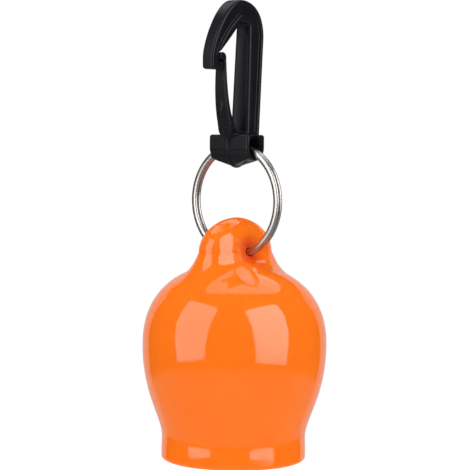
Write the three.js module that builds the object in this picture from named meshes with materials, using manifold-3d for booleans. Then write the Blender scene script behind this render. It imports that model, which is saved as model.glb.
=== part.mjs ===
// A soft mouthpiece cover that hangs on a split ring from a snap clip.
// Millimetres, +Z up. The origin is the seat under the hook's crown, which hangs on a strap or bar.
// The clip lies in the XZ plane, the split ring in the YZ plane and the cover's lug in the XZ plane.

import * as THREE from 'three';
import { mergeVertices } from 'three/addons/utils/BufferGeometryUtils.js';
import Module from 'manifold-3d';

const wasm = await Module();
wasm.setup();

// Clearances
const seatGap = 0.3; // between pieces that hang or bear on each other
const cutOverrun = 2; // how far a cutter runs past the face that it cuts
const weld = 0.0001; // points nearer than this are one

// Clip: hook and column
const crownRise = 5.95; // material over the seat
const shoulderReach = 7.9; // widest point of the column's outer edge
const shoulderDrop = 3.5; // how far under the seat that point lies
const columnFootReach = 5.9; // outer edge of the column at its foot
const columnThroat = 2.3; // inner edge of the column under the seat
const columnFootThroat = 1.55; // inner edge of the column at its foot
const seatHalfWidth = 1.5; // flat of the seat
const throatCorner = 1.4; // fillet from the seat to the column
const columnHalfDepth = 2.9; // half the depth of the column at its foot
const crownHalfDepth = 2.4; // half the depth of the crown
const clipEdge = 0.55; // rounding of the clip's edges

// Clip: how full the hook's curves are, as shares of the sizes that they join
const noseRiseShare = 0.3; // outer edge, straight up from the nose
const crownFrontShare = 0.42; // outer edge, from the crown towards the nose
const crownBackShare = 0.56; // outer edge, from the crown towards the shoulder
const shoulderRiseShare = 0.5; // outer edge, up from the shoulder
const socketAcrossShare = 0.4; // inner edge, from the recess behind the head
const socketRiseShare = 0.42;
const seatFrontShare = 1.9; // inner edge, from the seat towards the nose
const seatDropShare = 0.4;
const throatShare = 0.5; // inner edge, from the seat towards the column

// Clip: nose
const noseReach = 11.9; // outer face of the nose
const noseDrop = 11.8; // tip of the nose under the seat
const noseHeight = 2.8; // straight part of the outer face
const noseHalfDepth = 1.75; // half the depth of the nose
const ledgeThickness = 2; // the nose's ledge, which the gate's head hooks over
const headSocketDrop = 7.25; // top of the recess behind the head

// Clip: groove moulded along both faces
const grooveDepth = 0.65;
const grooveInnerShare = 0.4; // of the bar's width, from its inner edge
const grooveOuterShare = 0.74;
const grooveStartShare = 0.1; // of the bar's length, left whole at the nose
const grooveStopShare = 0.05; // and at the foot

// Clip: eye that carries the split ring
const eyeDrop = 32.1; // bore's axis under the seat
const eyeBore = 4.9;
const eyeFlare = 6.1; // bore's width at the barrel's ends
const flareLength = 1.4;
const barrelLength = 13.6;
const barrelWidth = 6.8;
const barrelTopWall = 0.65; // over the bore
const barrelBottomWall = 1.25; // under the bore
const barrelCorner = 0.7;
const gussetHighShare = 0.5; // of the drop from the column's foot to the barrel's side
const gussetLowShare = 0.6;

// Clip: thin keel in the middle plane, round the barrel
const keelProud = 1; // beyond the barrel's side
const keelDepth = 1.9; // beyond the barrel's underside
const keelThickness = 1.2;
const keelDropShare = 0.62; // of the keel's drop, straight down its side
const keelAcrossShare = 0.5; // of its half width, along its underside

// Gate: springy tongue, moulded in one with the clip
const gateRootReach = 4.35; // bending point, before the seat
const gateRootDrop = 26.4; // bending point, under the seat
const gateRootThickness = 1.5;
const gateTipThickness = 0.9;
const gateRootHalfDepth = 2.25;
const gateTipHalfDepth = 1.5;
const gateBow = 1.25; // how far the tongue bows outwards of its chord
const gateBowShare = 0.36; // of its length, where it bows the most
const headReach = 6; // inner face of the head, before the seat
const headWidth = 2.6;
const headStraight = 0.5; // flat side of the head, under its round top
const gateEdge = 0.25;

// Split ring: two turns of flat wire, side by side
const ringDiameter = 30;
const wireRadial = 1.7;
const wireAxial = 0.85;
const wireFlatShare = 0.6; // of the wire's width, flat on its two sides
const coilGap = 0.5;
const stepAngle = 30; // degrees in which the wire steps over from one turn to the next

// Cover: bulb with a short straight neck
const bulbDiameter = 48.4;
const crownHeight = 21.5; // from the widest level to the top of the bulb
const crownPower = 2.3; // of the curve between them
const taperHeight = 23.4; // from the widest level to the neck
const bulbFullShare = 0.64; // of the taper, how far the bulb stays full
const neckLeadShare = 0.19; // of the taper, how far the neck leads into it
const neckDiameter = 37.4;
const neckHeight = 6.5;
const wall = 1.9;
const rimRound = 0.55;

// Cover: lug, a low dome on upright sides, dimpled on both faces round its hole
const lugHole = 3.7;
const lugRise = 9.5; // hole's centre to the top of the lug
const lugLength = 24.5;
const lugDepth = 11.4;
const lugPower = 2.5; // of its plan, where 2 is an ellipse
const lugDome = 8.55; // height of its domed top
const lugSide = 1.5; // height of its upright sides
const lugFoot = 3.4; // how far its foot flares on the bulb
const lugFootRise = 6; // height of the flare
const lugWeb = 9.4; // depth left between the dimples, at the hole
const dimpleLength = 20.4;
const dimpleDepth = 8;
const dimpleHeight = 10;
const dimpleLift = 2.2; // middle of the dimple over the hole's centre
const crownDrop = 2.63; // hole's centre to the top of the bulb

// Counts of steps along the curves
const ringStepCount = 24;
const coverStepCount = 56;
const crownStepCount = 14;
const taperStepCount = 12;
const rimStepCount = 3;
const lugStepCount = 40;
const domeStepCount = 9;
const footStepCount = 5;
const dimpleStepCount = 24;
const holeStepCount = 24;
const hookFrontStepCount = 14;
const hookBackStepCount = 10;
const columnStepCount = 8;
const gussetStepCount = 5;
const barrelStepCount = 14;
const cornerStepCount = 3;
const boreStepCount = 28;
const keelStepCount = 7;
const socketStepCount = 20;
const gateStepCount = 12;
const gateRootStepCount = 8;
const gateHeadStepCount = 10;
const edgeStepCount = 2;

// Colours and finishes
const nylon = { color: 0x1a1b1e, roughness: 0.42, metalness: 0 };
const gateNylon = { color: 0x1d1e21, roughness: 0.42, metalness: 0 };
const steel = { color: 0xc9ccd1, roughness: 0.18, metalness: 1 };
const orange = { color: 0xff6a10, roughness: 0.16, metalness: 0 };

// Worked out from the sizes above
const eyeRadius = eyeBore / 2;
const flareRadius = eyeFlare / 2;
const barrelHalf = barrelLength / 2;
const barrelTop = -eyeDrop + eyeRadius + barrelTopWall;
const barrelBottom = -eyeDrop - eyeRadius - barrelBottomWall;
const ringRadius = ringDiameter / 2;
const ringInner = ringRadius - wireRadial;
const wireCircle = ringRadius - wireRadial / 2;
const coilOffset = (wireAxial + coilGap) / 2;
const ringSeatAtEnd = -eyeDrop - flareRadius + seatGap - Math.sqrt(ringInner ** 2 - barrelHalf ** 2);
const flareStart = barrelHalf - flareLength;
const ringSeatAtFlare = -eyeDrop - eyeRadius + seatGap - Math.sqrt(ringInner ** 2 - flareStart ** 2);
const ringLevel = Math.max(ringSeatAtEnd, ringSeatAtFlare);
const wireAtWeb = ringLevel - Math.sqrt(ringInner ** 2 - (lugWeb / 2) ** 2);
const holeLevel = wireAtWeb - Math.sqrt((lugHole / 2 - seatGap) ** 2 - coilOffset ** 2);
const domeLevel = holeLevel + lugRise - lugDome;
const bulbTop = holeLevel - crownDrop;
const widestLevel = bulbTop - crownHeight;
const neckLevel = widestLevel - taperHeight;
const rimLevel = neckLevel - neckHeight;
const bulbRadius = bulbDiameter / 2;
const neckRadius = neckDiameter / 2;
const headTop = -headSocketDrop - seatGap;
const ledgeTop = -noseDrop + ledgeThickness;
const ledgeInner = -headReach - gateTipThickness - seatGap;
const socketFace = -headReach - headWidth - seatGap;

const mix = (a, b, share) => a + (b - a) * share;
const clamp = (value) => Math.min(1, Math.max(0, value));

function solidOf(geometry) {
  const bare = geometry.clone();
  bare.deleteAttribute('normal');
  bare.deleteAttribute('uv');
  const merged = mergeVertices(bare, weld);
  return new wasm.Manifold(new wasm.Mesh({
    numProp: 3,
    vertProperties: merged.attributes.position.array,
    triVerts: Uint32Array.from(merged.index.array),
  }));
}

function geometryOf(solid) {
  const mesh = solid.getMesh();
  const geometry = new THREE.BufferGeometry();
  geometry.setAttribute('position', new THREE.BufferAttribute(mesh.vertProperties, 3));
  geometry.setIndex(new THREE.BufferAttribute(mesh.triVerts, 1));
  return geometry;
}

// A plate in the XZ plane, centred on Y, whose outline is given as [x, z] points.
function plate(outline, halfDepth, edge) {
  const shape = new THREE.Shape(outline.map(([x, z]) => new THREE.Vector2(x, z)));
  const geometry = new THREE.ExtrudeGeometry(shape, {
    depth: 2 * (halfDepth - edge),
    steps: 1,
    bevelEnabled: edge > 0,
    bevelThickness: edge,
    bevelSize: edge,
    bevelOffset: -edge,
    bevelSegments: edgeStepCount,
  });
  geometry.translate(0, 0, edge - halfDepth);
  geometry.rotateX(Math.PI / 2);
  return geometry;
}

// Scales the depth of a plate from point to point.
function taper(geometry, share) {
  const place = geometry.attributes.position;
  for (let i = 0; i < place.count; i += 1) {
    place.setY(i, place.getY(i) * share(place.getX(i), place.getZ(i)));
  }
  return geometry;
}

function sample(curve, count) {
  return curve.getPoints(count).map((point) => [point.x, point.y]);
}

function bezier(...corners) {
  return new THREE.CubicBezierCurve(...corners.map(([x, z]) => new THREE.Vector2(x, z)));
}

function line(from, to) {
  return new THREE.LineCurve(new THREE.Vector2(...from), new THREE.Vector2(...to));
}

function arc(centre, radius, from, to, count) {
  return Array.from({ length: count + 1 }, (_, i) => {
    const angle = from + ((to - from) * i) / count;
    return [centre[0] + radius * Math.cos(angle), centre[1] + radius * Math.sin(angle)];
  });
}

// The hook's bar, as matched points on its outer and inner edges from the nose to the foot.
function hookEdges() {
  const noseTop = [-noseReach, -noseDrop + noseHeight];
  const crown = [0, crownRise];
  const shoulder = [shoulderReach, -shoulderDrop];
  const foot = [columnFootReach, barrelTop + barrelCorner];
  const socketTop = [socketFace, -headSocketDrop];
  const seatFront = [-seatHalfWidth, 0];
  const throat = [columnThroat, -throatCorner];
  const throatFoot = [columnFootThroat, barrelTop];
  const outer = [
    bezier(noseTop, [-noseReach, mix(noseTop[1], crownRise, noseRiseShare)],
      [-noseReach * crownFrontShare, crownRise], crown),
    bezier(crown, [shoulderReach * crownBackShare, crownRise],
      [shoulderReach, crownRise * shoulderRiseShare], shoulder),
    line(shoulder, foot),
  ];
  const inner = [
    bezier(socketTop,
      [mix(socketFace, -seatHalfWidth, socketAcrossShare), mix(-headSocketDrop, 0, socketRiseShare)],
      [-seatHalfWidth * seatFrontShare, -throatCorner * seatDropShare], seatFront),
    bezier(seatFront, [columnThroat * throatShare, 0], [columnThroat, 0], throat),
    line(throat, throatFoot),
  ];
  const steps = [hookFrontStepCount, hookBackStepCount, columnStepCount];
  const join = (curves) => curves.flatMap((curve, i) => sample(curve, steps[i]).slice(i ? 1 : 0));
  return { outer: join(outer), inner: join(inner) };
}

function hookBar() {
  const { outer, inner } = hookEdges();
  const barrelSide = [barrelWidth / 2, -eyeDrop];
  const foot = outer[outer.length - 1];
  const gusset = bezier(foot, [foot[0], mix(foot[1], -eyeDrop, gussetHighShare)],
    [barrelSide[0], mix(foot[1], -eyeDrop, gussetLowShare)], barrelSide);
  const outline = [
    [-noseReach, -noseDrop],
    ...outer,
    ...sample(gusset, gussetStepCount).slice(1),
    [columnFootThroat, -eyeDrop],
    ...inner.slice().reverse(),
    [socketFace, ledgeTop],
    [ledgeInner, ledgeTop],
    [ledgeInner, -noseDrop],
  ];
  const depth = (x, z) => {
    const towardNose = clamp(-x / noseReach);
    const towardFoot = clamp(z / barrelTop);
    const half = x < 0 ? mix(crownHalfDepth, noseHalfDepth, towardNose)
      : mix(crownHalfDepth, columnHalfDepth, towardFoot);
    return half / columnHalfDepth;
  };
  return { solid: solidOf(taper(plate(outline, columnHalfDepth, clipEdge), depth)), depth };
}

// Cutters for the groove, one on each face of the bar.
function grooves(depth) {
  const { outer, inner } = hookEdges();
  const last = outer.length - 1;
  const first = Math.round(last * grooveStartShare);
  const end = last - Math.round(last * grooveStopShare);
  const band = (share) => outer.slice(first, end)
    .map(([x, z], i) => [mix(inner[first + i][0], x, share), mix(inner[first + i][1], z, share)]);
  const outline = [...band(grooveOuterShare), ...band(grooveInnerShare).reverse()];
  const block = plate(outline, columnHalfDepth, 0);
  return [-1, 1].map((side) => {
    const cutter = block.clone();
    const place = cutter.attributes.position;
    for (let i = 0; i < place.count; i += 1) {
      const face = columnHalfDepth * depth(place.getX(i), place.getZ(i));
      const outward = place.getY(i) * side > 0;
      place.setY(i, side * (outward ? face + cutOverrun : face - grooveDepth));
    }
    return solidOf(cutter);
  });
}

function barrel() {
  const half = barrelWidth / 2;
  const corner = barrelTop - barrelCorner;
  const outline = [
    ...arc([0, barrelBottom + half], half, Math.PI, 2 * Math.PI, barrelStepCount),
    ...arc([half - barrelCorner, corner], barrelCorner, 0, Math.PI / 2, cornerStepCount),
    ...arc([barrelCorner - half, corner], barrelCorner, Math.PI / 2, Math.PI, cornerStepCount),
  ];
  return solidOf(plate(outline, barrelHalf, clipEdge));
}

function boreCutter() {
  const beyond = barrelHalf + cutOverrun;
  const spread = ((flareRadius - eyeRadius) / flareLength) * cutOverrun;
  const profile = [
    [0, -beyond],
    [flareRadius + spread, -beyond],
    [eyeRadius, -flareStart],
    [eyeRadius, flareStart],
    [flareRadius + spread, beyond],
    [0, beyond],
  ].map(([r, y]) => new THREE.Vector2(r, y));
  const geometry = new THREE.LatheGeometry(profile, boreStepCount);
  geometry.translate(0, 0, -eyeDrop);
  return solidOf(geometry);
}

function keel() {
  const side = barrelWidth / 2 + keelProud;
  const low = barrelBottom - keelDepth;
  const half = (way) => bezier(
    [0, low],
    [way * side * keelAcrossShare, low],
    [way * side, mix(-eyeDrop, low, keelDropShare)],
    [way * side, -eyeDrop],
  );
  const outline = [
    ...sample(half(-1), keelStepCount).reverse(),
    ...sample(half(1), keelStepCount).slice(1),
    [columnFootReach - clipEdge, barrelTop + barrelCorner],
    [0, barrelTop - barrelCorner],
    [-side, barrelTop],
  ];
  return solidOf(plate(outline, keelThickness / 2, 0));
}

// The tongue's middle line, from its bending point up to the head.
function gateLine() {
  const root = [-gateRootReach, -gateRootDrop];
  const tip = [-headReach - gateTipThickness / 2, ledgeTop];
  const middle = [(root[0] + tip[0]) / 2 - gateBow, mix(root[1], tip[1], gateBowShare)];
  return new THREE.QuadraticBezierCurve(
    new THREE.Vector2(...root),
    new THREE.Vector2(...middle),
    new THREE.Vector2(...tip),
  );
}

// The short stub that the tongue grows from, hollowed to clear the tongue's round root.
function gateStub() {
  const start = gateLine().getTangent(0);
  const half = gateRootThickness / 2 + seatGap;
  const [x, z] = [-gateRootReach, -gateRootDrop];
  const down = (-gateRootDrop - barrelTop) / start.y + barrelCorner + half;
  const side = [start.y * half, -start.x * half];
  const lowX = x - start.x * down;
  const lowZ = z - start.y * down;
  const outline = [
    [x - side[0], z - side[1]],
    [lowX - side[0], lowZ - side[1]],
    [lowX + side[0], lowZ + side[1]],
    [x + side[0], z + side[1]],
  ];
  return solidOf(plate(outline, gateRootHalfDepth, gateEdge));
}

function rootSocket() {
  const radius = gateRootThickness / 2 + seatGap;
  const outline = arc([-gateRootReach, -gateRootDrop], radius, 0, 2 * Math.PI, socketStepCount).slice(1);
  return solidOf(plate(outline, columnHalfDepth + cutOverrun, 0));
}

function clipBody() {
  const { solid, depth } = hookBar();
  const whole = [barrel(), keel(), gateStub()].reduce((body, extra) => body.add(extra), solid);
  return [...grooves(depth), boreCutter(), rootSocket()]
    .reduce((body, cutter) => body.subtract(cutter), whole);
}

function gate() {
  const path = gateLine();
  const sides = [-1, 1].map((side) => Array.from({ length: gateStepCount + 1 }, (_, i) => {
    const share = i / gateStepCount;
    const point = path.getPoint(share);
    const run = path.getTangent(share);
    const half = mix(gateRootThickness, gateTipThickness, share) / 2;
    return [point.x + side * run.y * half, point.y - side * run.x * half];
  }));
  const start = path.getTangent(0);
  const tilt = Math.atan2(start.y, start.x);
  const root = arc([-gateRootReach, -gateRootDrop], gateRootThickness / 2,
    tilt + Math.PI / 2, tilt + Math.PI * 1.5, gateRootStepCount);
  const radius = headWidth / 2;
  const head = arc([-headReach - radius, headTop - radius], radius, 0, Math.PI, gateHeadStepCount);
  const headFoot = headTop - radius - headStraight;
  const outerEnd = headFoot - gateTipThickness / 4;
  const outline = [
    ...root.slice(0, -1),
    ...sides[1].filter(([, z]) => z < headFoot),
    [-headReach, headFoot],
    ...head,
    [-headReach - headWidth, headFoot],
    ...sides[0].filter(([, z]) => z < outerEnd).reverse().slice(0, -1),
  ];
  const span = gateRootDrop + headTop;
  const depth = (x, z) => mix(gateRootHalfDepth, gateTipHalfDepth, clamp((z + gateRootDrop) / span));
  const share = (x, z) => depth(x, z) / gateRootHalfDepth;
  return solidOf(taper(plate(outline, gateRootHalfDepth, gateEdge), share));
}

// Corners of the wire's section at one point of its run, round a flat lozenge.
function wireSection(angle, offset) {
  const sectionShares = [
    [1, 0], [wireFlatShare, 1], [-wireFlatShare, 1], [-1, 0], [-wireFlatShare, -1], [wireFlatShare, -1],
  ];
  return sectionShares.map(([radialShare, axialShare]) => {
    const radius = wireCircle + (radialShare * wireRadial) / 2;
    return [
      offset + (axialShare * wireAxial) / 2,
      radius * Math.cos(angle),
      ringLevel + radius * Math.sin(angle),
    ];
  });
}

// The least distance between points of the wire that lie half a turn or more apart along it.
function leastGap(sections) {
  let least = Infinity;
  sections.forEach((section, i) => {
    for (const other of sections.slice(i + ringStepCount / 2)) {
      for (const [ax, ay, az] of section) {
        for (const [bx, by, bz] of other) {
          least = Math.min(least, Math.hypot(ax - bx, ay - by, az - bz));
        }
      }
    }
  });
  return least;
}

// The wire runs once round on one side, steps over and runs round again on the other.
function splitRing() {
  const crossSteps = Math.round((stepAngle * ringStepCount) / 360);
  const total = 2 * ringStepCount - crossSteps;
  const startAngle = Math.PI / 2 + THREE.MathUtils.degToRad(stepAngle) / 2;
  const sections = Array.from({ length: total + 1 }, (_, i) => {
    const crossing = clamp((i - (ringStepCount - crossSteps)) / crossSteps);
    const offset = mix(-coilOffset, coilOffset, THREE.MathUtils.smoothstep(crossing, 0, 1));
    return wireSection(startAngle + (i * 2 * Math.PI) / ringStepCount, offset);
  });
  console.log(`split ring: least gap of the wire to itself ${leastGap(sections).toFixed(2)} mm`);
  const sides = sections[0].length;
  const index = [];
  for (let i = 0; i < total; i += 1) {
    for (let j = 0; j < sides; j += 1) {
      const next = (j + 1) % sides;
      const here = i * sides;
      const there = here + sides;
      index.push(here + j, there + next, here + next, here + j, there + j, there + next);
    }
  }
  const end = total * sides;
  for (let j = 1; j < sides - 1; j += 1) {
    index.push(0, j, j + 1);
    index.push(end, end + j + 1, end + j);
  }
  const geometry = new THREE.BufferGeometry();
  geometry.setAttribute('position', new THREE.Float32BufferAttribute(sections.flat(2), 3));
  geometry.setIndex(index);
  return geometry;
}

// Outside of the bulb from the top to the neck, as [radius, level] points, moved in by an inset.
function bulbProfile(inset) {
  const radius = bulbRadius - inset;
  const height = crownHeight - inset;
  const neck = neckRadius - inset;
  const crown = Array.from({ length: crownStepCount }, (_, i) => {
    const angle = ((i + 1) / crownStepCount) * (Math.PI / 2);
    return [
      radius * Math.sin(angle) ** (2 / crownPower),
      widestLevel + height * Math.max(0, Math.cos(angle)) ** (2 / crownPower),
    ];
  });
  const lower = bezier(
    [radius, widestLevel],
    [radius, mix(widestLevel, neckLevel, bulbFullShare)],
    [neck, mix(neckLevel, widestLevel, neckLeadShare)],
    [neck, neckLevel],
  );
  return [[0, widestLevel + height], ...crown, ...sample(lower, taperStepCount).slice(1)];
}

function revolve(profile) {
  const points = profile.map(([r, z]) => new THREE.Vector2(r, z));
  const geometry = new THREE.LatheGeometry(points.reverse(), coverStepCount);
  geometry.rotateX(Math.PI / 2);
  return solidOf(geometry);
}

// A closed skin over a stack of rings of points, highest first, shut by a point over and under it.
function skin(top, rings, bottom) {
  const sides = rings[0].length;
  const under = rings.length * sides + 1;
  const index = [];
  for (let j = 0; j < sides; j += 1) {
    const next = (j + 1) % sides;
    index.push(0, 1 + j, 1 + next, under, under - sides + next, under - sides + j);
    for (let i = 1; i < rings.length; i += 1) {
      const low = 1 + i * sides;
      const high = low - sides;
      index.push(high + j, low + j, low + next, high + j, low + next, high + next);
    }
  }
  const points = [top, ...rings.flat(), bottom];
  const geometry = new THREE.BufferGeometry();
  geometry.setAttribute('position', new THREE.Float32BufferAttribute(points.flat(), 3));
  geometry.setIndex(index);
  return geometry;
}

// One level of the lug: its plan shrunk by a share for the dome, or spread for the foot.
function lugRing(level, share, spread) {
  const power = 2 / lugPower;
  return Array.from({ length: lugStepCount }, (_, i) => {
    const angle = (i / lugStepCount) * 2 * Math.PI;
    const [x, y] = [Math.cos(angle), Math.sin(angle)].map((way) => Math.sign(way) * Math.abs(way) ** power);
    return [x * (share * lugLength / 2 + spread), y * (share * lugDepth / 2 + spread), level];
  });
}

function lug() {
  const dome = Array.from({ length: domeStepCount }, (_, i) => {
    const angle = ((i + 1) / domeStepCount) * (Math.PI / 2);
    return lugRing(domeLevel + lugDome * Math.max(0, Math.cos(angle)), Math.sin(angle), 0);
  });
  const foot = Array.from({ length: footStepCount + 1 }, (_, i) => {
    const share = i / footStepCount;
    const flare = lugFoot * (1 - Math.sqrt(1 - share ** 2));
    return lugRing(domeLevel - lugSide - lugFootRise * share, 1, flare);
  });
  const base = lugRing(widestLevel + lugDome, 1, lugFoot);
  const top = [0, 0, domeLevel + lugDome];
  return solidOf(skin(top, [...dome, ...foot, base], [0, 0, widestLevel + lugDome]));
}

// The dimple that is sunk into one face of the lug, as deep as leaves the web at the hole.
function dimple(side) {
  const geometry = new THREE.SphereGeometry(1, dimpleStepCount, dimpleStepCount / 2);
  geometry.scale(dimpleLength / 2, dimpleDepth / 2, dimpleHeight / 2);
  const atHole = Math.sqrt(1 - (dimpleLift / (dimpleHeight / 2)) ** 2);
  const middle = lugWeb / 2 + (dimpleDepth / 2) * atHole;
  geometry.translate(0, side * middle, holeLevel + dimpleLift);
  return solidOf(geometry);
}

function cover() {
  const rim = arc([neckRadius - rimRound, rimLevel + rimRound], rimRound, 0, -Math.PI / 2, rimStepCount);
  const outside = revolve([...bulbProfile(0), ...rim, [0, rimLevel]]);
  const mouth = rimLevel - cutOverrun;
  const inside = revolve([...bulbProfile(wall), [neckRadius - wall, mouth], [0, mouth]]);
  const round = arc([0, holeLevel], lugHole / 2, 0, 2 * Math.PI, holeStepCount).slice(1);
  const hole = solidOf(plate(round, lugDepth / 2 + cutOverrun, 0));
  return [dimple(-1), dimple(1), hole, inside]
    .reduce((body, cutter) => body.subtract(cutter), outside.add(lug()));
}

function piece(name, geometry, finish) {
  geometry.computeVertexNormals();
  const mesh = new THREE.Mesh(geometry, new THREE.MeshStandardMaterial(finish));
  mesh.name = name;
  return mesh;
}

const object = new THREE.Group();
object.add(piece('clip_body', geometryOf(clipBody()), nylon));
object.add(piece('clip_gate', geometryOf(gate()), gateNylon));
object.add(piece('split_ring', splitRing(), steel));
object.add(piece('mouthpiece_cover', geometryOf(cover()), orange));

export default object;
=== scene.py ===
"""Looks of a soft mouthpiece cover that hangs on a split ring from a snap clip.

Every length is in metres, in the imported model's frame: +Z up, the hook's seat at the origin.
"""

import math

import bmesh
import bpy
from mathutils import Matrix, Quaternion, Vector
from mathutils.bvhtree import BVHTree


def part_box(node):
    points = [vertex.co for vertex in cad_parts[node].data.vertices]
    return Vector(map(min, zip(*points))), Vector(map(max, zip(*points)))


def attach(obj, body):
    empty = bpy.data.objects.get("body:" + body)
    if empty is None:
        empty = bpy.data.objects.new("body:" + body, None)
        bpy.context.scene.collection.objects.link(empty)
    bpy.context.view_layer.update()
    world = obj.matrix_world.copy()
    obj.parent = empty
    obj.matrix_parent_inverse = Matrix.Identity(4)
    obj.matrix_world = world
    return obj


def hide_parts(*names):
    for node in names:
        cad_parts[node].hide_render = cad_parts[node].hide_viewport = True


bl_info = {
    "name": "Mouthpiece cover on a snap clip",
    "version": (1, 0, 0),
    "blender": (4, 5, 0),
    "location": "View3D > Sidebar > Cover",
    "description": "Soft hollow cover, split ring and moulded snap clip, with their studio",
    "category": "Add Mesh",
}

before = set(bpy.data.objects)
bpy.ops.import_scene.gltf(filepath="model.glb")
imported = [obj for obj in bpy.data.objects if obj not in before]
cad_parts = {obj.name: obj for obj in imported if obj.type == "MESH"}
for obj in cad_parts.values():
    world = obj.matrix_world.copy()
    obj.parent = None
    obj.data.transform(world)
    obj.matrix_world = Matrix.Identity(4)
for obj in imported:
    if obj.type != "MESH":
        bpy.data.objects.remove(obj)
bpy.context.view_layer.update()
CLIP_LOW, CLIP_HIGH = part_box("clip_body")
GATE_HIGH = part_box("clip_gate")[1]
RING_LOW, RING_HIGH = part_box("split_ring")
COVER_LOW, COVER_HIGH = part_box("mouthpiece_cover")

MM = 0.001
QUARTER = math.pi / 2
TURN = 2 * math.pi

# Cover: how its skin is stepped
COVER_COLUMNS = 192
DOME_ROWS = 24
SIDE_ROWS = 4
FOOT_ROWS = 12
CROWN_ROWS = 22
TAPER_ROWS = 24
NECK_ROWS = 12
EDGE_ROWS = 4
INSIDE_ROWS = 16
HOLE_EDGE_ROWS = 4
HOLE_DEPTH_ROWS = 8

# Cover: the curves of its bulb and its lug
CROWN_POWER = 2.3  # of the bulb's crown, where 2 is an ellipse
LUG_POWER = 2.5  # of the lug's plan
DOME_POWER = 1.87  # of the lug's top, a little pointed
LUG_STRAIGHT = 0.3 * MM  # of the lug's side, between its dome and its foot
FOOT_DRAFT = 0.24  # how far the foot leans out as it starts, as a share of its reach
FOOT_DIP_FACE = 0.5  # how far it has come down there, at the lug's faces
FOOT_DIP_END = 0.41  # and at the lug's ends
FOOT_LEAD = 0.6  # of the foot's reach, how far the crown's slope leads into it
FOOT_SLOPE_RUN = 0.1  # of the foot's reach, along which that slope is taken
BULB_FULL_SHARE = 0.54  # of the taper, how far the bulb stays full
NECK_LEAD_SHARE = 0.21  # of the taper, how far the neck leads into it
FLARE_SHARE = 0.6  # of the neck, in which it widens
DIMPLE_DEPTH = 4 * MM  # half of the dimple's ball, across the lug
DIMPLE_DROP = 3 * MM  # how far under the hole the dimple may reach
DIMPLE_EDGE = 0.35 * MM  # rounding of the dimple's edge
HOLE_MOUTH = 4.5 * MM  # from the middle plane to the hole's mouths
HOLE_SPREAD = 2.6  # of the hole's radius, how far the skin's rows are drawn towards it
OUTSIDE = 50 * MM  # a distance beyond the whole cover

# Split ring
WIRE_POWER = 2.5  # of the wire's section, where 2 is an ellipse
WIRE_HALF_HEIGHT = 0.85 * MM
WIRE_SIDES = 32
WIRE_STEPS = 180  # in one turn
WIRE_END = 0.4 * MM  # length of the wire's rounded ends

# Clip: the curves of its hook, in the plane of X and Z
CROWN_MIDDLE = -1 * MM  # the hook's highest point
CROWN_PULL = 0.52  # how far out the crown stays level, as a share of its reach
SHOULDER_DROP = 3.5 * MM  # level of the column's widest point, under the seat
COLUMN_FOOT_REACH = 5.7 * MM
COLUMN_THROAT = 1.8 * MM
COLUMN_FOOT_THROAT = 0.5 * MM
COLUMN_HOLLOW = 0.08 * MM  # of the column's inner face
SEAT_HALF_WIDTH = 1.5 * MM
THROAT_CORNER = 1.4 * MM
NOSE_DROP = 12.35 * MM
NOSE_HEIGHT = 2.8 * MM
NOSE_STEPS = 6
CROWN_STEPS = 40
COLUMN_STEPS = 30
LEDGE_THICKNESS = 2 * MM
LEDGE_INNER = -7.2 * MM
SOCKET_FACE = -8.9 * MM
SOCKET_TOP = -7.3 * MM
SOCKET_END = -8.02 * MM  # how far the arm reaches over the tongue's head

# Clip: the section of the hook's bar
ROUND_MOST = 0.9  # of half the bar's depth, for a rounded edge
NOSE_OUTER_ROUND = 0.6 * MM  # rounding of the outer edges, at the nose
ROUND_STEPS = 5
BEAD_MOST = 0.42  # of the bar's width, for the bead
GROOVE_LEAST = 0.9 * MM  # width of the groove, where the bar is narrow
GROOVE_RIM = 1.35 * MM  # left outside the groove
GROOVE_LIP = 0.25 * MM  # half of the slope at each side of the groove
GROOVE_BREAK = 0.25  # of the groove's depth, where that slope turns steep
GROOVE_FADE = 5  # steps in which the groove starts and ends

# Clip: its eye, keel and springy tongue
EYE_LEVEL = -32.1 * MM
BARREL_TOP = -29 * MM
BARREL_BOTTOM = -35.8 * MM
BARREL_HALF_WIDTH = 3.4 * MM
BARREL_CORNER = 0.7 * MM
BARREL_STEPS = 40
BORE_SIDES = 64
BORE_BEYOND = 2 * MM  # how far the bore's cutter goes past the barrel
BORE_STEPS = 8  # in each flare
KEEL_PROUD = 1 * MM  # beyond the barrel's side
KEEL_STEPS = 16
RISE_STEPS = 10  # of the keel, up to the tongue
GUSSET_STEPS = 12
BELLY_LIFT = 0.25 * MM  # over the keel's lowest point
BELLY_LEVEL = BARREL_BOTTOM + 0.9 * MM  # where the belly starts to narrow
PIVOT = (-4.35 * MM, -26.4 * MM)  # where the tongue bends
PIVOT_DROP = 0.4 * MM  # how far under it the keel starts
ROOT_GAP = 0.04 * MM  # round the tongue's root
ROOT_SPREAD = 0.06 * MM  # of the root, beyond the tongue's thickness
ROOT_OVERLAP = 0.15 * MM  # of the tongue and its stub, where the real one is solid
ROOT_HALF_DEPTH = 2.25 * MM
TIP_HALF_DEPTH = 1.5 * MM
TONGUE_STEPS = 48
TONGUE_BOW = 1.25 * MM
TONGUE_BOW_SHARE = 0.36  # of the tongue's length, where it bows the most
TONGUE_EDGE = 0.35 * MM  # rounding of the tongue's edges
TONGUE_RIB = 0.45 * MM  # how proud the rib of the tongue stands
RIB_LEVEL = -20 * MM  # where that rib runs out
RIB_RUN = 3 * MM  # in which it fades
HEAD_TOP = -7.85 * MM
HEAD_INNER = -6 * MM
HEAD_STRAIGHT = 0.5 * MM  # side of the head, under its round top
HEAD_SLOPE = 0.22 * MM  # of the head's underside
HEAD_OVERLAP = 1.2 * MM  # how far the head's solid goes down the tongue
HEAD_STEPS = 20
STUB_LEVEL = BARREL_TOP + 0.6 * MM  # where the stub starts to narrow
STUB_RUN = 2.4 * MM  # in which it does so
CLIP_VOXEL = 0.11 * MM
TONGUE_VOXEL = 0.1 * MM

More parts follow.
